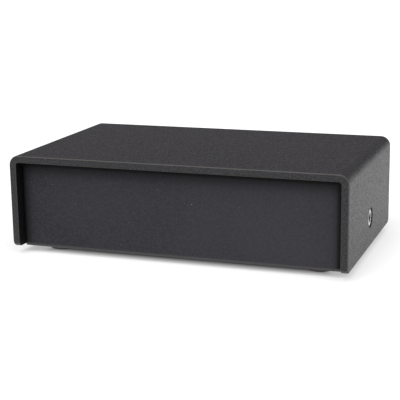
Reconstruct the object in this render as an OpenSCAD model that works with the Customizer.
// Phono preamp: a small folded-steel box with a plain front and its sockets at the rear.
// X runs across the box, the plain front faces -Y, the sockets face +Y, and Z is up.
// The origin lies on the table, under the middle of the whole object.

/* [Cover] */
// Width over the folded cover
case_w = 110; // [98:1:130]
// Depth of the cover, front edge to rear edge
case_d = 65.5; // [64:0.5:90]
// Height of the cover, lower edge to top face
cover_h = 30; // [29:0.5:40]
// Sheet thickness of the cover
cover_t = 2.3; // [1.8:0.1:2.4]
// Outer radius of the cover's two long bends
cover_bend_r = 3.2; // [2.8:0.1:4.4]
// Rounding of the cover's outer rims under the paint
cover_edge_r = 0.5; // [0.3:0.05:0.9]
// Rounding of the cover's inner rims
cover_inner_edge_r = 0.25; // [0.1:0.05:0.5]
// Radius of the side walls' lower corners
cover_toe_r = 2; // [1.2:0.1:4]

/* [Base tray] */
// How far the front and rear panels stand back from the cover's edges
panel_recess = 4; // [2:0.25:5]
// Sheet thickness of the tray
tray_t = 1; // [0.8:0.1:1.2]
// Outer radius of the tray's bends
tray_bend_r = 1.5; // [1.4:0.1:2.5]
// Gap between the tray's side edges and the cover's walls
tray_side_gap = 0.2; // [0.1:0.05:0.4]
// Gap between the panels' top edges and the cover
panel_top_gap = 0.3; // [0.2:0.05:0.6]
// How far the tray's underside hangs below the cover's lower edge
tray_drop = 0.7; // [0.2:0.05:1]
// Width of the two folded tabs that the cover is screwed to
tab_w = 16; // [12:1:24]
// Height of the tabs above the centres of the side screws
tab_over = 4.5; // [3.6:0.1:8]
// Width of the relief cuts beside each tab
tab_relief = 0.8; // [0.5:0.1:1.5]

/* [Rubber feet] */
// Diameter of a foot
foot_d = 9; // [7:0.5:12]
// Height of a foot
foot_h = 2; // [1.5:0.1:4]
// Rounding of a foot's lower edge
foot_edge_r = 0.8; // [0.4:0.1:1.2]
// Distance of a foot's centre from the tray's front or rear face
foot_inset_y = 9.5; // [7:0.5:16]
// Distance of a foot's centre from the tray's side edge
foot_inset_x = 9; // [7:0.5:20]

/* [Screws] */
// Height of the side screws above the cover's lower edge
cover_screw_rise = 9.5; // [8.5:0.25:12]
// Shank diameter of the machine screws
screw_d = 2.9; // [2.5:0.1:3.2]
// Head diameter of the countersunk side screws
csk_head_d = 6; // [5.4:0.1:6.6]
// Width of the countersink around the head
csk_margin = 0.25; // [0.15:0.05:0.4]
// Whole length of a side screw
cover_screw_l = 6; // [5.5:0.25:7]
// Head diameter of the pan-head screws
pan_head_d = 4.8; // [4.4:0.1:5.4]
// Head height of the pan-head screws
pan_head_h = 1.9; // [1.5:0.1:2.4]
// Width over the cross recess in a screw head
recess_w = 3; // [2.4:0.1:3.6]
// Depth of the cross recess
recess_depth = 1.2; // [0.8:0.1:1.4]
// Flange diameter of the nuts pressed into the tabs
tab_nut_d = 5.6; // [5:0.1:6.4]
// How far those nuts stand in from the tabs
tab_nut_h = 2; // [1.6:0.1:2.6]
// Diameter of the nuts' pressed necks
tab_neck_d = 4.2; // [3.9:0.1:4.8]

/* [Circuit board] */
// Thickness of the board
board_t = 1.6; // [1:0.2:2]
// Height of the spacers under the board
spacer_h = 5; // [4:0.25:7]
// Width across flats of the hexagonal spacers
spacer_af = 5.5; // [5.4:0.1:7]
// Diameter of the spacers' necks, pressed into the tray
spacer_neck_d = 4; // [3.6:0.1:4.6]
// Gap between the board's side edges and the nuts in the tabs
board_side_gap = 0.7; // [0.5:0.1:2]
// Gap between the board and the front panel
board_front_gap = 4.5; // [2:0.25:8]
// Gap between the board and the rear panel
board_rear_gap = 1; // [0.5:0.1:2]
// Distance of the board's screws from its edges
board_hole_inset = 4.5; // [4:0.25:6]
// Distance of the rear pair of board screws from the board's rear edge
board_hole_back = 20; // [18:0.5:24]
// Length of a board screw under its head
board_screw_l = 5; // [4:0.25:6]

/* [Phono sockets] */
// Outer diameter of a socket's shell
jack_d = 8.3; // [8.1:0.05:8.6]
// Wall of the shell
jack_wall = 0.7; // [0.5:0.05:0.9]
// Reach of the shells behind the rear panel
jack_reach = 9; // [8:0.25:10]
// Distance between the two sockets of a pair
jack_pitch = 14; // [13:0.25:16]
// Bore of the centre contact
contact_bore = 3.2; // [3.1:0.05:3.4]
// Wall of the centre contact
contact_wall = 0.5; // [0.35:0.05:0.7]
// Depth of the contact's bore
contact_depth = 7.6; // [6:0.1:7.6]
// Height of the sockets' centres above the board
jack_rise = 7; // [6.5:0.25:8]
// Height of a socket block
jack_block_h = 13.5; // [12.5:0.25:15]
// Depth of a socket block
jack_block_d = 10; // [9:0.5:12]
// Plastic beside the outer sides of a pair
jack_block_side = 5.5; // [5.3:0.1:6.5]
// Radial width of the collars that pass through the panel
jack_collar = 0.8; // [0.5:0.1:1.2]
// How far the collars stand proud of the panel
jack_proud = 0.2; // [0.1:0.05:0.6]
// Height of the fixing screw above the sockets' centres
jack_screw_rise = 4.2; // [3.5:0.1:4.5]
// Length of a fixing screw under its head
jack_screw_l = 7; // [5:0.5:9]
// Width of the relief below a block, between its two sockets
jack_relief_w = 3; // [2:0.25:4]
// Height of that relief
jack_relief_h = 4; // [3:0.25:5]
// Plastic left in front of that relief
jack_relief_wall = 1.5; // [1:0.1:2.5]

/* [Power inlet] */
// Bore of the inlet
dc_bore = 6.3; // [6:0.1:6.6]
// Depth of the inlet
dc_depth = 9.8; // [9:0.1:10.5]
// Diameter of the centre pin
dc_pin_d = 2.1; // [1.9:0.05:2.5]
// How far the pin's tip lies inside the mouth
dc_pin_back = 1.1; // [0.6:0.1:2]
// Diameter of the round nose in the panel
dc_nose_d = 8.2; // [7.8:0.1:8.8]
// How far the nose stands proud of the panel
dc_proud = 0.3; // [0.1:0.05:0.8]
// Width of the inlet's block
dc_block_w = 9; // [8.8:0.1:10]
// Depth of the inlet's block
dc_block_d = 13; // [12:0.25:14]
// Height of the inlet's centre above the board
dc_rise = 6.5; // [6:0.25:7.5]
// Block above the inlet's centre
dc_over = 4.5; // [4.3:0.1:5.5]

/* [Selector switch] */
// Width of the switch frame
selector_w = 13; // [12.5:0.25:15]
// Height of the switch frame
selector_h = 7.6; // [7.2:0.2:9]
// Sheet thickness of the frame
selector_t = 0.4; // [0.3:0.05:0.6]
// Travel of the lever from one setting to the other
selector_travel = 2; // [1.5:0.25:2.5]
// Width of the lever's stem
lever_w = 4; // [3:0.25:4.5]
// Height of the lever's stem
lever_h = 4; // [3:0.25:4.5]
// Reach of the lever behind the rear panel
lever_reach = 3; // [2:0.25:4]
// Working gap around the lever
lever_gap = 0.2; // [0.15:0.05:0.4]
// Width of the slider inside the frame, over the stem
slider_over = 2.2; // [1.8:0.1:2.6]
// Thickness of the slider
slider_t = 2; // [1.6:0.1:2.4]
// Height of the bowed wipers behind the slider
wiper_rise = 0.9; // [0.7:0.1:1.2]

/* [Ground terminal] */
// Thread diameter of the stud, as a plain cylinder
stud_d = 3.9; // [3.5:0.1:4.2]
// Reach of the stud behind the rear panel
stud_reach = 10.5; // [10:0.25:13]
// Width across flats of the stud's head and of the lock nut
hex_af = 7; // [6.5:0.1:8]
// Thickness of the stud's head
stud_head_h = 2.8; // [2:0.1:3.2]
// Thickness of the lock nut
lock_nut_h = 2.2; // [1.8:0.1:3]
// Thickness of the toothed washer
tooth_washer_t = 0.6; // [0.4:0.1:0.8]
// Thickness of the ring lug
lug_t = 0.8; // [0.5:0.1:1]
// Diameter of the ring lug
lug_d = 7.6; // [7:0.1:8.4]
// Diameter of the thumb nut's washer
washer_d = 9; // [8:0.1:10]
// Thickness of the thumb nut's washer
washer_t = 0.8; // [0.6:0.1:1.2]
// Diameter over the knurl of the thumb nut
thumb_nut_d = 10; // [9:0.25:11]
// Whole length of the thumb nut
thumb_nut_h = 5.6; // [5:0.1:6]
// Length of the thumb nut's plain neck
thumb_neck_h = 1.6; // [1:0.1:2]
// Diameter of the thumb nut's plain neck
thumb_neck_d = 7.4; // [6.5:0.1:8]
// Number of ribs in the knurl
knurl_count = 40; // [24:2:60]
// Depth of the knurl
knurl_depth = 0.35; // [0.2:0.05:0.5]
// Height of the stud's centre above the board
ground_rise = 9; // [8.5:0.25:10]
// Diameter of the short wire to the board
ground_wire_d = 1.3; // [1:0.1:1.6]

/* [Clearances] */
// Radial play of pieces that sit in a hole
seat_gap = 0.05; // [0.02:0.01:0.1]
// Radial play of the thumb nut on its stud
thread_gap = 0.08; // [0.04:0.01:0.1]
// Gap between pieces that turn or slide past each other
running_gap = 0.2; // [0.15:0.05:0.3]
// Radial play of screws in their clearance holes
screw_play = 0.25; // [0.15:0.05:0.4]

/* [Board components] */
// Diameter of the supply capacitors
supply_cap_d = 10; // [8:0.5:10]
// Height of the supply capacitors
supply_cap_h = 16; // [12:0.5:18]
// Diameter of the coupling capacitors
coupling_cap_d = 6.3; // [5:0.1:6.5]
// Height of the coupling capacitors
coupling_cap_h = 11; // [7:0.5:12]
// Length of an amplifier chip
chip_l = 9.6; // [9:0.1:10]
// Width of an amplifier chip
chip_w = 6.4; // [6:0.1:6.8]
// Thickness of an amplifier chip
chip_h = 3.3; // [3:0.1:3.8]
// Width of a film capacitor
film_cap_w = 7.2; // [6:0.1:7.5]
// Thickness of a film capacitor
film_cap_t = 2.5; // [2:0.1:3.5]
// Height of a film capacitor
film_cap_h = 6.5; // [5:0.1:9]
// Body length of a resistor
resistor_l = 6.3; // [5:0.1:6.5]
// Body diameter of a resistor
resistor_d = 2.4; // [2:0.1:2.6]
// Diameter of the component leads
lead_d = 0.6; // [0.5:0.05:0.8]
// Width of the voltage regulator
regulator_w = 10; // [9:0.1:10.4]
// Height of the regulator's body
regulator_h = 9; // [8:0.1:9.5]
// Thickness of the regulator's body
regulator_t = 4.4; // [4:0.1:4.6]
// Body length of a rectifier diode
diode_l = 5.2; // [4:0.1:5.4]
// Body diameter of a rectifier diode
diode_d = 2.7; // [2:0.1:2.8]
// Distance between the component columns
column_pitch = 10; // [9.5:0.25:10.5]
// Distance between the component rows
row_pitch = 4.5; // [4.25:0.25:5]
// Distance of the first row from the board's front edge
first_row = 3.5; // [3:0.25:5]
// Distance of the diodes from the board's side edge
diode_inset = 11; // [9:0.5:13]

/* [Hidden] */
$fn = 64;
// Overshoot of cutting shapes
cut = 0.5;

// Depths and heights of the case
rear_reach = max(jack_reach, stud_reach) - panel_recess;
front_y = -(case_d + rear_reach) / 2;
rear_y = front_y + case_d;
mid_y = (front_y + rear_y) / 2;
panel_y = rear_y - panel_recess;
tray_front_y = front_y + panel_recess;
tray_d = panel_y - tray_front_y;
tray_z = foot_h;
floor_z = tray_z + tray_t;
cover_z = tray_z + tray_drop;
top_z = cover_z + cover_h;
panel_top_z = top_z - cover_t - panel_top_gap;
inner_half_w = case_w / 2 - cover_t;
tray_w = 2 * (inner_half_w - tray_side_gap);
cover_fold_r = cover_bend_r - cover_t;
tray_fold_r = tray_bend_r - tray_t;
panel_corner_r = cover_fold_r + 0.5;

// Side screws and their nuts
side_screw_z = cover_z + cover_screw_rise;
csk_head_h = (csk_head_d - screw_d) / 2;
screw_hole_d = screw_d + 2 * screw_play;
tab_top_z = side_screw_z + tab_over;
tab_face_x = tray_w / 2 - tray_t;

// Circuit board
board_w = 2 * (tab_face_x - tab_nut_h - board_side_gap);
board_d = tray_d - 2 * tray_t - board_front_gap - board_rear_gap;
board_y = panel_y - tray_t - board_rear_gap - board_d / 2;
board_z = floor_z + spacer_h;
board_top = board_z + board_t;
board_hole_x = board_w / 2 - board_hole_inset;
board_holes_y = [
    board_y - board_d / 2 + board_hole_inset,
    board_y + board_d / 2 - board_hole_back
];

// Sockets along the rear, spread evenly over the board's width
jack_block_w = jack_pitch + 2 * jack_block_side;
ground_zone_w = washer_d + 1;
socket_gap = (board_w - dc_block_w - selector_w - 2 * jack_block_w - ground_zone_w) / 5;
dc_x = board_w / 2 - socket_gap - dc_block_w / 2;
selector_x = dc_x - dc_block_w / 2 - socket_gap - selector_w / 2;
output_x = selector_x - selector_w / 2 - socket_gap - jack_block_w / 2;
input_x = output_x - jack_block_w - socket_gap;
ground_x = input_x - jack_block_w / 2 - socket_gap - ground_zone_w / 2;
jack_z = board_top + jack_rise;
dc_z = board_top + dc_rise;
selector_z = board_top + selector_h / 2;
ground_z = board_top + ground_rise;
jack_r = jack_d / 2;
jack_tail_r = jack_r - 0.25;
collar_r = jack_r + jack_collar;
insert_r = jack_r - jack_wall - seat_gap;
contact_r = contact_bore / 2 + contact_wall;

// Power inlet's tail, and the channel below its bore for the leaf spring
dc_tail_r = dc_pin_d / 2 + 0.25;
dc_spring_w = 1.8;
dc_spring_t = 0.3;
dc_channel = 1.2;
dc_channel_w = dc_spring_w + 2 * running_gap;
dc_channel_lip = dc_spring_t + running_gap;

// Selector switch, counted from the frame's front face inward
slider_w = lever_w + 2 * slider_over;
selector_wall_y = selector_t + lever_gap;
selector_base_t = 1.2;
wiper_t = 0.25;
pad_t = 0.2;
selector_d = selector_wall_y + slider_t + wiper_rise + running_gap + pad_t + selector_base_t;
terminal_w = 0.8;
terminal_h = 0.6;
terminal_pitch = 2.5;
terminal_rows = 3;
terminal_back = 1;
pad_w = 2;
pad_h = 1.8;
terminal_places = [
    for (column = [-1, 0, 1], row = [-1, 1])
        [column * terminal_pitch, row * terminal_rows / 2]
];

// Ground terminal, counted outward from the rear panel
washer_at = lock_nut_h + running_gap;
thumb_nut_at = washer_at + washer_t + running_gap;
lug_drop = lug_d / 2 + 1.8;
lug_barrel_d = ground_wire_d + 1.2;
lug_barrel_l = 4;
wire_bend_r = 2;

// Where the components stand: columns from the board's middle, rows from its front edge
function row_y(row) = first_row + row * row_pitch - board_d / 2;
function place(column, row) = [column * column_pitch, row_y(row)];
chip_places = [for (column = [-2.5, -0.5]) place(column, 3.5)];
supply_places = [for (row = [2, 4.6]) place(2.5, row)];
coupling_places = [
    for (spot = [[-3.5, 3.5], [-1.5, 3.5], [-1.5, 5.6], [0.5, 3.5]]) place(spot[0], spot[1])
];
film_places = [for (column = [-3 : 0]) place(column, 1)];
resistor_places = [for (column = [-3.5 : 0.5], row = [0, 2]) place(column, row)];
diode_places = [for (row = [2, 3]) [board_w / 2 - diode_inset, row_y(row)]];
regulator_place = place(1.4, 3.5);

module rounded_rect(w, d, r) {
    square([w - 2 * r, d], center = true);
    square([w, d - 2 * r], center = true);
    for (sx = [-1, 1], sy = [-1, 1])
        translate([sx * (w / 2 - r), sy * (d / 2 - r)])
            circle(r);
}

module both_sides() {
    children();
    mirror([1, 0, 0])
        children();
}

// A socket's own frame: Z points out of the rear panel from its outer face, Y points down
module at_rear(x, z) {
    translate([x, panel_y, z])
        rotate([-90, 0, 0])
            children();
}

module tube(outer_r, inner_r, h) {
    difference() {
        cylinder(r = outer_r, h = h);
        translate([0, 0, -cut])
            cylinder(r = inner_r, h = h + 2 * cut);
    }
}

module hex_prism(af, h) {
    cylinder(d = af / cos(30), h = h, $fn = 6);
}

// Cross recess that opens upward at z = 0 and narrows to a point below
module cross_recess() {
    translate([0, 0, -recess_depth])
        intersection() {
            cylinder(r1 = recess_w / 6, r2 = recess_w / 2, h = recess_depth);
            for (turn = [0, 90])
                rotate(turn)
                    cube([recess_w, recess_w / 4, 2 * recess_depth], center = true);
        }
    translate([0, 0, -recess_depth])
        linear_extrude(recess_depth + cut)
            for (turn = [0, 90])
                rotate(turn)
                    square([recess_w * 0.7, recess_w / 4], center = true);
}

// Pan-head screw: its head stands on z = 0 and the shank hangs below
module pan_screw(shank_l) {
    rim_h = pan_head_h * 0.45;
    crown = pan_head_h - rim_h;
    dome_r = (pow(pan_head_d / 2, 2) + pow(crown, 2)) / (2 * crown);
    difference() {
        union() {
            intersection() {
                cylinder(d = pan_head_d, h = pan_head_h);
                translate([0, 0, pan_head_h - dome_r])
                    sphere(dome_r);
            }
            translate([0, 0, -shank_l])
                cylinder(d = screw_d, h = shank_l);
        }
        translate([0, 0, pan_head_h])
            cross_recess();
    }
}

// One rim of the cover's sheet: X through the thickness, outside at +X, rim at +Y
module sheet_rim(reach) {
    outer = cover_edge_r;
    inner = cover_inner_edge_r;
    polygon([
        [0, 0], [cover_t, 0], [cover_t, reach - outer], [cover_t - outer, reach],
        [inner, reach], [0, reach - inner]
    ]);
    translate([cover_t - outer, reach - outer])
        circle(outer);
    translate([inner, reach - inner])
        circle(inner);
}

// The sheet's whole section from the front rim to the rear rim
module sheet_section() {
    translate([0, case_d / 2]) {
        sheet_rim(case_d / 2);
        mirror([0, 1])
            sheet_rim(case_d / 2);
    }
}

// Lower corner of a side wall, rounded with the same rim
module cover_toe() {
    rotate([0, 90, 0])
        rotate_extrude(angle = 90)
            mirror([1, -1])
                sheet_rim(cover_toe_r);
}

module cover_side() {
    wall_x = case_w / 2 - cover_t;
    translate([case_w / 2 - cover_bend_r, 0, cover_h - cover_bend_r])
        mirror([0, 0, 1])
            rotate([-90, 0, 0])
                rotate_extrude(angle = 90)
                    translate([cover_fold_r, 0])
                        sheet_section();
    translate([wall_x, 0, cover_toe_r])
        linear_extrude(cover_h - cover_bend_r - cover_toe_r)
            sheet_section();
    translate([wall_x, cover_toe_r, cover_toe_r])
        rotate([-90, 0, 0])
            linear_extrude(case_d - 2 * cover_toe_r)
                sheet_rim(cover_toe_r);
    translate([wall_x, case_d - cover_toe_r, cover_toe_r])
        cover_toe();
    translate([wall_x, cover_toe_r, cover_toe_r])
        mirror([0, 1, 0])
            cover_toe();
}

// Countersunk hole for a side screw, from the wall's outer face inward along -X
module side_screw_hole() {
    sink_r = csk_head_d / 2 + csk_margin;
    rotate([0, -90, 0]) {
        translate([0, 0, -cut])
            cylinder(r1 = sink_r + cut, r2 = screw_hole_d / 2, h = sink_r + cut - screw_hole_d / 2);
        cylinder(d = screw_hole_d, h = cover_t + cut);
    }
}

module cover() {
    color([0.2, 0.2, 0.2])
        translate([0, front_y, cover_z])
            difference() {
                union() {
                    translate([case_w / 2 - cover_bend_r, 0, cover_h - cover_t])
                        rotate([0, -90, 0])
                            linear_extrude(case_w - 2 * cover_bend_r)
                                sheet_section();
                    both_sides()
                        cover_side();
                }
                both_sides()
                    translate([case_w / 2, case_d / 2, cover_screw_rise])
                        side_screw_hole();
            }
}

module tray_bend(length) {
    rotate_extrude(angle = 90)
        translate([tray_fold_r, 0])
            square([tray_t, length]);
}

module tray_floor() {
    bay_w = tab_w + 2 * tab_relief;
    difference() {
        translate([-tray_w / 2, tray_front_y + tray_bend_r, tray_z])
            cube([tray_w, tray_d - 2 * tray_bend_r, tray_t]);
        both_sides()
            translate([tray_w / 2 - tray_bend_r, mid_y - bay_w / 2, tray_z - cut])
                cube([tray_bend_r + cut, bay_w, tray_t + 2 * cut]);
        for (x = [-board_hole_x, board_hole_x], y = board_holes_y)
            translate([x, y, tray_z - cut])
                cylinder(d = spacer_neck_d + 2 * seat_gap, h = tray_t + 2 * cut);
    }
}

module tray_tab() {
    round_r = 3;
    translate([tray_w / 2 - tray_bend_r, mid_y - tab_w / 2, tray_z + tray_bend_r])
        rotate([-90, 0, 0])
            tray_bend(tab_w);
    difference() {
        translate([tab_face_x, mid_y, 0])
            rotate([90, 0, 90])
                linear_extrude(tray_t) {
                    translate([-tab_w / 2, tray_z + tray_bend_r])
                        square([tab_w, tab_top_z - round_r - tray_z - tray_bend_r]);
                    translate([-tab_w / 2 + round_r, tab_top_z - round_r])
                        square([tab_w - 2 * round_r, round_r]);
                    for (side = [-1, 1])
                        translate([side * (tab_w / 2 - round_r), tab_top_z - round_r])
                            circle(round_r);
                }
        translate([tab_face_x - cut, mid_y, side_screw_z])
            rotate([0, 90, 0])
                cylinder(d = tab_neck_d + 2 * seat_gap, h = tray_t + 2 * cut);
    }
}

// Outline of a panel in X and Z, from the end of its bend to its rounded top corners
module panel_outline() {
    low_z = tray_z + tray_bend_r;
    translate([-tray_w / 2, low_z])
        square([tray_w, panel_top_z - panel_corner_r - low_z]);
    translate([-tray_w / 2 + panel_corner_r, low_z])
        square([tray_w - 2 * panel_corner_r, panel_top_z - low_z]);
    for (side = [-1, 1])
        translate([side * (tray_w / 2 - panel_corner_r), panel_top_z - panel_corner_r])
            circle(panel_corner_r);
}

module rear_panel_holes() {
    for (pair_x = [input_x, output_x]) {
        for (side = [-1, 1])
            at_rear(pair_x + side * jack_pitch / 2, jack_z)
                translate([0, 0, -tray_t - cut])
                    cylinder(r = collar_r + seat_gap, h = tray_t + 2 * cut);
        at_rear(pair_x, jack_z + jack_screw_rise)
            translate([0, 0, -tray_t - cut])
                cylinder(d = screw_hole_d, h = tray_t + 2 * cut);
    }
    at_rear(dc_x, dc_z)
        translate([0, 0, -tray_t - cut])
            cylinder(r = dc_nose_d / 2 + seat_gap, h = tray_t + 2 * cut);
    at_rear(ground_x, ground_z)
        translate([0, 0, -tray_t - cut])
            cylinder(r = stud_d / 2 + screw_play, h = tray_t + 2 * cut);
    at_rear(selector_x, selector_z)
        translate([0, 0, -tray_t - cut])
            linear_extrude(tray_t + 2 * cut)
                lever_slot();
}

module base_tray() {
    color([0.16, 0.17, 0.18]) {
        tray_floor();
        both_sides()
            tray_tab();
        translate([-tray_w / 2, tray_front_y + tray_bend_r, tray_z + tray_bend_r])
            mirror([0, 1, 0])
                rotate([0, 90, 0])
                    tray_bend(tray_w);
        translate([0, tray_front_y + tray_t, 0])
            rotate([90, 0, 0])
                linear_extrude(tray_t)
                    panel_outline();
        translate([-tray_w / 2, panel_y - tray_bend_r, tray_z + tray_bend_r])
            rotate([0, 90, 0])
                tray_bend(tray_w);
        difference() {
            translate([0, panel_y, 0])
                rotate([90, 0, 0])
                    linear_extrude(tray_t)
                        panel_outline();
            rear_panel_holes();
        }
    }
}

module cover_screws() {
    head_sink = csk_margin;
    color("silver")
        both_sides()
            translate([case_w / 2 - head_sink, mid_y, side_screw_z])
                rotate([0, 90, 0])
                    difference() {
                        union() {
                            translate([0, 0, -csk_head_h])
                                cylinder(d1 = screw_d, d2 = csk_head_d, h = csk_head_h);
                            translate([0, 0, -cover_screw_l])
                                cylinder(d = screw_d, h = cover_screw_l - csk_head_h);
                        }
                        cross_recess();
                    }
}

module tab_nuts() {
    color("lightgray")
        both_sides()
            translate([tab_face_x, mid_y, side_screw_z])
                rotate([0, 90, 0])
                    difference() {
                        union() {
                            translate([0, 0, -tab_nut_h])
                                cylinder(d = tab_nut_d, h = tab_nut_h);
                            cylinder(d = tab_neck_d, h = tray_t);
                        }
                        translate([0, 0, -tab_nut_h - cut])
                            cylinder(d = screw_d + 2 * seat_gap, h = tab_nut_h + tray_t + 2 * cut);
                    }
}

module rubber_feet() {
    foot_x = tray_w / 2 - foot_inset_x;
    foot_y = tray_d / 2 - foot_inset_y;
    color([0.1, 0.1, 0.1])
        for (sx = [-1, 1], sy = [-1, 1])
            translate([sx * foot_x, mid_y + sy * foot_y, 0])
                rotate_extrude() {
                    square([foot_d / 2 - foot_edge_r, foot_h]);
                    translate([0, foot_edge_r])
                        square([foot_d / 2, foot_h - foot_edge_r]);
                    translate([foot_d / 2 - foot_edge_r, foot_edge_r])
                        circle(foot_edge_r);
                }
}

module circuit_board() {
    color([0.1, 0.35, 0.2])
        translate([0, board_y, board_z])
            linear_extrude(board_t)
                difference() {
                    rounded_rect(board_w, board_d, 1);
                    for (x = [-board_hole_x, board_hole_x], y = board_holes_y)
                        translate([x, y - board_y])
                            circle(d = screw_hole_d);
                }
}

module board_spacers() {
    color("goldenrod")
        for (x = [-board_hole_x, board_hole_x], y = board_holes_y)
            translate([x, y, floor_z])
                difference() {
                    union() {
                        hex_prism(spacer_af, spacer_h);
                        translate([0, 0, -tray_t])
                            cylinder(d = spacer_neck_d, h = tray_t);
                    }
                    cylinder(d = screw_d + 2 * seat_gap, h = spacer_h + cut);
                }
}

module board_screws() {
    color("silver")
        for (x = [-board_hole_x, board_hole_x], y = board_holes_y)
            translate([x, y, board_top])
                pan_screw(board_screw_l);
}

// Moulded block that carries a pair of phono sockets
module jack_housing(pair_x) {
    back_z = -tray_t - jack_block_d;
    at_rear(pair_x, jack_z)
        difference() {
            union() {
                translate([-jack_block_w / 2, jack_rise - jack_block_h, back_z])
                    cube([jack_block_w, jack_block_h, jack_block_d]);
                for (side = [-1, 1])
                    translate([side * jack_pitch / 2, 0, -tray_t - cut])
                        cylinder(r = collar_r, h = tray_t + cut + jack_proud);
            }
            for (side = [-1, 1])
                translate([side * jack_pitch / 2, 0, back_z - cut])
                    cylinder(r = jack_tail_r + seat_gap, h = jack_block_d + tray_t + jack_proud + 2 * cut);
            translate([0, -jack_screw_rise, -tray_t - jack_screw_l])
                cylinder(d = screw_d + 2 * seat_gap, h = jack_screw_l + cut);
            translate([-jack_relief_w / 2, jack_rise - jack_relief_h, back_z - cut])
                cube([jack_relief_w, jack_relief_h + cut, jack_block_d - jack_relief_wall + cut]);
        }
}

// Metal shell of a socket, with the ring behind the block and its leg down to the board
module jack_shell() {
    back_z = -tray_t - jack_block_d;
    lip = 0.3;
    ring_t = 0.5;
    ring_r = jack_tail_r + 0.6;
    difference() {
        union() {
            translate([0, 0, back_z - ring_t])
                cylinder(r = ring_r, h = ring_t);
            translate([-1.4, 0, back_z - ring_t])
                cube([2.8, jack_rise, ring_t]);
            translate([0, 0, back_z])
                cylinder(r = jack_tail_r, h = jack_block_d + tray_t + jack_proud);
            translate([0, 0, jack_proud])
                cylinder(r = jack_r, h = jack_reach - jack_proud - lip);
            translate([0, 0, jack_reach - lip])
                cylinder(r1 = jack_r, r2 = jack_r - lip, h = lip);
        }
        translate([0, 0, back_z - ring_t - cut])
            cylinder(r = jack_r - jack_wall, h = jack_block_d + tray_t + jack_reach + ring_t + 2 * cut);
    }
}

// Coloured insulator inside a shell, open in front for the plug's pin
module jack_insert() {
    front_z = jack_reach - 0.4;
    back_z = -tray_t - jack_block_d;
    mouth_t = 0.6;
    difference() {
        union() {
            translate([0, 0, back_z])
                cylinder(r = insert_r, h = front_z - 0.3 - back_z);
            translate([0, 0, front_z - 0.3])
                cylinder(r1 = insert_r, r2 = insert_r - 0.3, h = 0.3);
        }
        translate([0, 0, back_z - cut])
            cylinder(r = contact_r + seat_gap, h = front_z - mouth_t - back_z + cut);
        translate([0, 0, front_z - mouth_t - cut])
            cylinder(r = contact_bore / 2 + 0.15, h = mouth_t + 2 * cut);
    }
}

// Centre contact: a sleeve for the plug's pin, with a tail and a leg behind the block
module jack_contact() {
    front_z = jack_reach - 0.4 - 0.6 - seat_gap;
    back_z = -tray_t - jack_block_d;
    leg_back = 2;
    leg_w = 1.2;
    difference() {
        union() {
            translate([0, 0, back_z])
                cylinder(r = contact_r, h = front_z - back_z);
            translate([0, 0, back_z - leg_back])
                cylinder(d = leg_w, h = leg_back);
            translate([-leg_w / 2, 0, back_z - leg_back])
                cube([leg_w, jack_rise, 0.5]);
        }
        translate([0, 0, front_z - contact_depth])
            cylinder(d = contact_bore, h = contact_depth + cut);
    }
}

module jack_pair(pair_x) {
    for (side = [-1, 1])
        at_rear(pair_x + side * jack_pitch / 2, jack_z)
            children();
}

module input_jack_housing() {
    color([0.08, 0.08, 0.08])
        jack_housing(input_x);
}

module input_jack_shells() {
    color("silver")
        jack_pair(input_x)
            jack_shell();
}

// Seen from behind, the left socket of a pair is the one at +X
module input_left_insert() {
    color("white")
        at_rear(input_x + jack_pitch / 2, jack_z)
            jack_insert();
}

module input_right_insert() {
    color("firebrick")
        at_rear(input_x - jack_pitch / 2, jack_z)
            jack_insert();
}

module input_jack_contacts() {
    color("gold")
        jack_pair(input_x)
            jack_contact();
}

module output_jack_housing() {
    color([0.08, 0.08, 0.08])
        jack_housing(output_x);
}

module output_jack_shells() {
    color("silver")
        jack_pair(output_x)
            jack_shell();
}

module output_left_insert() {
    color("white")
        at_rear(output_x + jack_pitch / 2, jack_z)
            jack_insert();
}

module output_right_insert() {
    color("firebrick")
        at_rear(output_x - jack_pitch / 2, jack_z)
            jack_insert();
}

module output_jack_contacts() {
    color("gold")
        jack_pair(output_x)
            jack_contact();
}

module jack_panel_screws() {
    color([0.15, 0.15, 0.15])
        for (pair_x = [input_x, output_x])
            at_rear(pair_x, jack_z + jack_screw_rise)
                pan_screw(jack_screw_l);
}

// Bore, block and nose of the power inlet; a channel below the bore holds the leaf spring
module dc_inlet_housing() {
    back_z = -tray_t - dc_block_d;
    color([0.08, 0.08, 0.08])
        at_rear(dc_x, dc_z)
            difference() {
                union() {
                    translate([-dc_block_w / 2, -dc_over, back_z])
                        cube([dc_block_w, dc_over + dc_rise, dc_block_d]);
                    translate([0, 0, -tray_t - cut])
                        cylinder(d = dc_nose_d, h = tray_t + cut + dc_proud);
                }
                translate([0, 0, dc_proud - dc_depth])
                    cylinder(d = dc_bore, h = dc_depth + cut);
                translate([0, 0, back_z - cut])
                    cylinder(r = dc_tail_r + seat_gap, h = dc_block_d);
                translate([-dc_channel_w / 2, dc_bore / 2 - dc_channel_lip, back_z - cut])
                    cube([dc_channel_w, dc_channel_lip + dc_channel, dc_block_d - 2.5 + cut]);
            }
}

// Centre pin with its shoulder, tail and leg
module dc_inlet_pin() {
    back_z = -tray_t - dc_block_d;
    floor_at = dc_proud - dc_depth;
    tip_at = dc_proud - dc_pin_back;
    color("silver")
        at_rear(dc_x, dc_z) {
            translate([0, 0, floor_at])
                cylinder(d = dc_pin_d, h = tip_at - dc_pin_d / 2 - floor_at);
            translate([0, 0, tip_at - dc_pin_d / 2])
                sphere(d = dc_pin_d);
            translate([0, 0, back_z - 1])
                cylinder(r = dc_tail_r, h = floor_at - back_z + 1);
            translate([-1, 0, back_z - 1])
                cube([2, dc_rise, 0.5]);
        }
}

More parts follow.
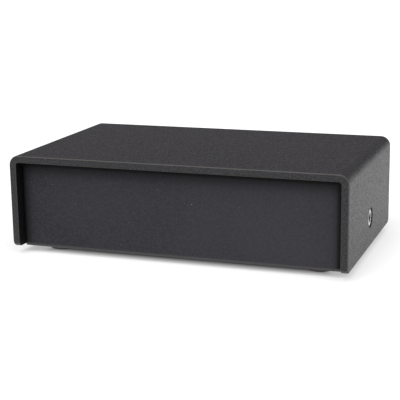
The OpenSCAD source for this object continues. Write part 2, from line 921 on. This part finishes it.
// Leaf spring under the plug's sleeve, with its leg down to the board
module dc_inlet_spring() {
    back_z = -tray_t - dc_block_d;
    low_y = dc_bore / 2 + dc_channel - dc_spring_t;
    tip_y = dc_bore / 2 - dc_spring_t;
    leaf_l = 9;
    color("silver")
        at_rear(dc_x, dc_z)
            rotate([0, -90, 0])
                translate([0, 0, -dc_spring_w / 2])
                    linear_extrude(dc_spring_w)
                        polygon([
                            [back_z - 0.4, low_y], [back_z + leaf_l - 3, low_y],
                            [back_z + leaf_l - 1, tip_y], [back_z + leaf_l, tip_y + 0.3],
                            [back_z + leaf_l, tip_y + 0.3 + dc_spring_t],
                            [back_z + leaf_l - 1, tip_y + dc_spring_t],
                            [back_z + leaf_l - 3, low_y + dc_spring_t],
                            [back_z - 0.1, low_y + dc_spring_t], [back_z - 0.1, dc_rise],
                            [back_z - 0.4, dc_rise]
                        ]);
}

module ground_stud() {
    head_at = -tray_t - tooth_washer_t - lug_t - stud_head_h;
    color("silver")
        at_rear(ground_x, ground_z) {
            translate([0, 0, head_at])
                hex_prism(hex_af, stud_head_h);
            translate([0, 0, head_at])
                cylinder(d = stud_d, h = stud_reach - head_at - 0.4);
            translate([0, 0, stud_reach - 0.4])
                cylinder(d1 = stud_d, d2 = stud_d - 0.8, h = 0.4);
        }
}

module ground_tooth_washer() {
    teeth = 16;
    outer_r = lug_d / 2;
    color("silver")
        at_rear(ground_x, ground_z)
            translate([0, 0, -tray_t - tooth_washer_t])
                linear_extrude(tooth_washer_t)
                    difference() {
                        polygon([for (i = [0 : 2 * teeth - 1])
                            (outer_r - (i % 2) * 0.5) * [cos(i * 180 / teeth), sin(i * 180 / teeth)]]);
                        circle(r = stud_d / 2 + screw_play);
                    }
}

// Ring lug with a crimped barrel that points into the box
module ground_lug() {
    lug_at = -tray_t - tooth_washer_t - lug_t;
    neck_w = lug_barrel_d;
    color("silver")
        at_rear(ground_x, ground_z) {
            translate([0, 0, lug_at])
                linear_extrude(lug_t)
                    difference() {
                        union() {
                            circle(d = lug_d);
                            translate([-neck_w / 2, 0])
                                square([neck_w, lug_drop]);
                            translate([0, lug_drop])
                                circle(d = lug_barrel_d);
                        }
                        circle(r = stud_d / 2 + screw_play);
                        translate([0, lug_drop])
                            circle(d = ground_wire_d + 2 * seat_gap);
                    }
            translate([0, lug_drop, lug_at - lug_barrel_l])
                tube(lug_barrel_d / 2, ground_wire_d / 2 + seat_gap, lug_barrel_l);
        }
}

// Short wire from the lug's barrel down to the board
module ground_wire() {
    lug_at = -tray_t - tooth_washer_t - lug_t;
    straight = lug_t + lug_barrel_l + 1.5;
    drop = ground_rise - lug_drop - wire_bend_r;
    color("seagreen")
        at_rear(ground_x, ground_z) {
            translate([0, lug_drop, lug_at + lug_t - straight])
                cylinder(d = ground_wire_d, h = straight);
            translate([0, lug_drop + wire_bend_r, lug_at + lug_t - straight])
                rotate([0, 90, 0])
                    rotate([0, 0, -90])
                        rotate_extrude(angle = 90)
                            translate([wire_bend_r, 0])
                                circle(d = ground_wire_d);
            translate([0, lug_drop + wire_bend_r, lug_at + lug_t - straight - wire_bend_r])
                rotate([-90, 0, 0])
                    cylinder(d = ground_wire_d, h = drop);
        }
}

module ground_lock_nut() {
    color("silver")
        at_rear(ground_x, ground_z)
            difference() {
                intersection() {
                    hex_prism(hex_af, lock_nut_h);
                    translate([0, 0, lock_nut_h - hex_af])
                        cylinder(r1 = hex_af, r2 = hex_af / 2, h = hex_af);
                }
                translate([0, 0, -cut])
                    cylinder(r = stud_d / 2 + seat_gap, h = lock_nut_h + 2 * cut);
            }
}

module ground_washer() {
    color("gold")
        at_rear(ground_x, ground_z)
            translate([0, 0, washer_at])
                tube(washer_d / 2, stud_d / 2 + 2 * thread_gap, washer_t);
}

// Knurled nut on the stud: a plain neck towards the panel and a ribbed grip
module ground_thumb_nut() {
    grip_h = thumb_nut_h - thumb_neck_h;
    crown_h = 0.4;
    rib_r = thumb_nut_d / 2;
    color("gold")
        at_rear(ground_x, ground_z)
            translate([0, 0, thumb_nut_at])
                difference() {
                    union() {
                        cylinder(d = thumb_neck_d, h = thumb_neck_h);
                        translate([0, 0, thumb_neck_h])
                            intersection() {
                                linear_extrude(grip_h)
                                    polygon([for (i = [0 : 2 * knurl_count - 1])
                                        (rib_r - (i % 2) * knurl_depth)
                                            * [cos(i * 180 / knurl_count), sin(i * 180 / knurl_count)]]);
                                translate([0, 0, grip_h - 2 * rib_r])
                                    cylinder(r1 = 3 * rib_r - crown_h, r2 = rib_r - crown_h, h = 2 * rib_r);
                            }
                    }
                    translate([0, 0, -cut])
                        cylinder(r = stud_d / 2 + thread_gap, h = thumb_nut_h + 2 * cut);
                }
}

// Slot for the lever, long enough for its travel; the lever rests at its low-X end
module lever_slot() {
    slot_w = lever_w + selector_travel + 2 * lever_gap;
    square([slot_w, lever_h + 2 * lever_gap], center = true);
}

// Folded sheet frame, open at the back
module selector_frame() {
    color("silver")
        at_rear(selector_x, selector_z)
            translate([0, 0, -tray_t - selector_d])
                difference() {
                    linear_extrude(selector_d)
                        square([selector_w, selector_h], center = true);
                    translate([0, 0, -selector_t])
                        linear_extrude(selector_d)
                            square([selector_w - 2 * selector_t, selector_h - 2 * selector_t], center = true);
                    translate([0, 0, -cut])
                        linear_extrude(selector_d + 2 * cut)
                            lever_slot();
                }
}

// Insulating base pressed into the back of the frame
module selector_base() {
    base_w = selector_w - 2 * selector_t - 2 * seat_gap;
    base_h = selector_h - 2 * selector_t - 2 * seat_gap;
    color("saddlebrown")
        at_rear(selector_x, selector_z)
            translate([0, 0, -tray_t - selector_d])
                linear_extrude(selector_base_t)
                    difference() {
                        square([base_w, base_h], center = true);
                        for (spot = terminal_places)
                            translate(spot)
                                square([terminal_w + 2 * seat_gap, terminal_h + 2 * seat_gap], center = true);
                    }
}

// Six terminals: a pad under the wipers, a tail through the base and a leg to the board
module selector_terminals() {
    base_back = -tray_t - selector_d;
    color("silver")
        at_rear(selector_x, selector_z)
            for (spot = terminal_places) {
                leg_back = spot[1] < 0 ? 2 * terminal_back : terminal_back;
                translate([spot[0] - terminal_w / 2, spot[1] - terminal_h / 2, base_back - leg_back])
                    cube([terminal_w, terminal_h, leg_back + selector_base_t]);
                translate([spot[0] - pad_w / 2, spot[1] - pad_h / 2, base_back + selector_base_t])
                    cube([pad_w, pad_h, pad_t]);
                translate([spot[0] - terminal_w / 2, spot[1] - terminal_h / 2, base_back - leg_back])
                    cube([terminal_w, selector_h / 2 - spot[1] + terminal_h / 2, terminal_h / 2]);
            }
}

// Lever and slider in one moulding; the grip has three ribs
module selector_lever() {
    slider_h = selector_h - 2 * selector_t - 2 * lever_gap;
    front_z = -tray_t - selector_wall_y;
    rib_h = 0.3;
    color([0.12, 0.12, 0.12])
        at_rear(selector_x - selector_travel / 2, selector_z) {
            translate([-slider_w / 2, -slider_h / 2, front_z - slider_t])
                cube([slider_w, slider_h, slider_t]);
            translate([-lever_w / 2, -lever_h / 2, front_z - cut])
                cube([lever_w, lever_h, cut + lever_reach - rib_h - front_z]);
            for (i = [-1, 0, 1])
                translate([i * lever_w * 0.36 - lever_w * 0.1, -lever_h / 2, lever_reach - rib_h])
                    cube([lever_w * 0.2, lever_h, rib_h]);
        }
}

// Two bowed strips on the slider, one for each channel
module selector_wiper() {
    slider_back = -tray_t - selector_wall_y - slider_t;
    half_l = 2.2;
    flat = 0.6;
    color("gold")
        at_rear(selector_x - selector_travel / 2, selector_z)
            for (row = [-1, 1])
                translate([0, row * terminal_rows / 2 + 0.5, slider_back])
                    rotate([90, 0, 0])
                        linear_extrude(1)
                            polygon([
                                [-half_l, 0], [-flat, -wiper_rise], [flat, -wiper_rise], [half_l, 0],
                                [half_l - 0.5, 0], [flat - 0.1, wiper_t - wiper_rise],
                                [0.1 - flat, wiper_t - wiper_rise], [0.5 - half_l, 0]
                            ]);
}

// Eight-legged chip with its end notch
module chip() {
    lift = 0.5;
    leg_pitch = 2.54;
    leg_w = 0.5;
    leg_t = 0.3;
    difference() {
        translate([-chip_l / 2, -chip_w / 2, lift])
            cube([chip_l, chip_w, chip_h]);
        translate([-chip_l / 2, 0, lift + chip_h - 0.6])
            cylinder(r = 1, h = 0.6 + cut);
    }
    for (i = [-1.5 : 1.5], side = [-1, 1])
        translate([i * leg_pitch - leg_w / 2, side * (chip_w / 2 + leg_t / 2) - leg_t / 2, 0])
            cube([leg_w, leg_t, lift + chip_h / 2]);
}

// Upright can with a crimp groove near its foot and a bevelled top
module can(d, h) {
    groove = 0.4;
    rotate_extrude()
        polygon([
            [0, 0], [d / 2 - 0.3, 0], [d / 2, 0.4], [d / 2, 1.4], [d / 2 - groove, 1.9],
            [d / 2, 2.4], [d / 2, h - 0.5], [d / 2 - 0.5, h], [0, h]
        ]);
}

// Lying body of revolution with two leads bent down to the board
module axial(body_l, body_d, end_d, end_l) {
    lead_reach = body_l / 2 + 1.4;
    axis_z = body_d / 2 + 0.3;
    translate([0, 0, axis_z])
        rotate([0, 90, 0])
            rotate_extrude()
                polygon([
                    [0, -body_l / 2], [end_d / 2, -body_l / 2], [end_d / 2, -body_l / 2 + end_l],
                    [body_d / 2 - 0.15, -body_l / 2 + end_l + 0.3],
                    [body_d / 2 - 0.15, body_l / 2 - end_l - 0.3],
                    [end_d / 2, body_l / 2 - end_l], [end_d / 2, body_l / 2], [0, body_l / 2]
                ]);
    translate([-lead_reach, 0, axis_z])
        rotate([0, 90, 0])
            cylinder(d = lead_d, h = 2 * lead_reach);
    for (side = [-1, 1])
        translate([side * lead_reach, 0, 0]) {
            cylinder(d = lead_d, h = axis_z);
            translate([0, 0, axis_z])
                sphere(d = lead_d);
        }
}

module on_board(spot) {
    translate([spot[0], board_y + spot[1], board_top])
        children();
}

module amplifier_chips() {
    color([0.1, 0.1, 0.1])
        for (spot = chip_places)
            on_board(spot)
                chip();
}

module supply_capacitors() {
    color([0.15, 0.15, 0.3])
        for (spot = supply_places)
            on_board(spot)
                can(supply_cap_d, supply_cap_h);
}

module coupling_capacitors() {
    color([0.1, 0.1, 0.12])
        for (spot = coupling_places)
            on_board(spot)
                can(coupling_cap_d, coupling_cap_h);
}

module film_capacitors() {
    color("firebrick")
        for (spot = film_places)
            on_board(spot)
                linear_extrude(film_cap_h)
                    rounded_rect(film_cap_w, film_cap_t, 0.5);
}

module resistors() {
    color("lightskyblue")
        for (spot = resistor_places)
            on_board(spot)
                axial(resistor_l, resistor_d - 0.3, resistor_d, 1.2);
}

module rectifier_diodes() {
    color([0.1, 0.1, 0.1])
        for (spot = diode_places)
            on_board(spot)
                axial(diode_l, diode_d, diode_d, 0.8);
}

// Upright regulator with its metal tab and three legs
module voltage_regulator() {
    leg_h = 3;
    leg_w = 0.8;
    leg_t = 0.5;
    leg_pitch = 2.54;
    tab_h = 6.2;
    tab_t = 1.3;
    color([0.2, 0.2, 0.2])
        on_board(regulator_place) {
            translate([-regulator_w / 2, -regulator_t / 2, leg_h])
                cube([regulator_w, regulator_t, regulator_h]);
            for (i = [-1, 0, 1])
                translate([i * leg_pitch - leg_w / 2, -leg_t / 2, 0])
                    cube([leg_w, leg_t, leg_h]);
            difference() {
                translate([-regulator_w / 2, regulator_t / 2 - tab_t, leg_h + regulator_h])
                    cube([regulator_w, tab_t, tab_h]);
                translate([0, regulator_t, leg_h + regulator_h + tab_h / 2])
                    rotate([90, 0, 0])
                        cylinder(d = 3.6, h = 2 * regulator_t);
            }
        }
}

cover();
base_tray();
cover_screws();
tab_nuts();
rubber_feet();
circuit_board();
board_spacers();
board_screws();
input_jack_housing();
input_jack_shells();
input_left_insert();
input_right_insert();
input_jack_contacts();
output_jack_housing();
output_jack_shells();
output_left_insert();
output_right_insert();
output_jack_contacts();
jack_panel_screws();
dc_inlet_housing();
dc_inlet_pin();
dc_inlet_spring();
ground_stud();
ground_tooth_washer();
ground_lug();
ground_wire();
ground_lock_nut();
ground_washer();
ground_thumb_nut();
selector_frame();
selector_base();
selector_terminals();
selector_lever();
selector_wiper();
amplifier_chips();
supply_capacitors();
coupling_capacitors();
film_capacitors();
resistors();
voltage_regulator();
rectifier_diodes();
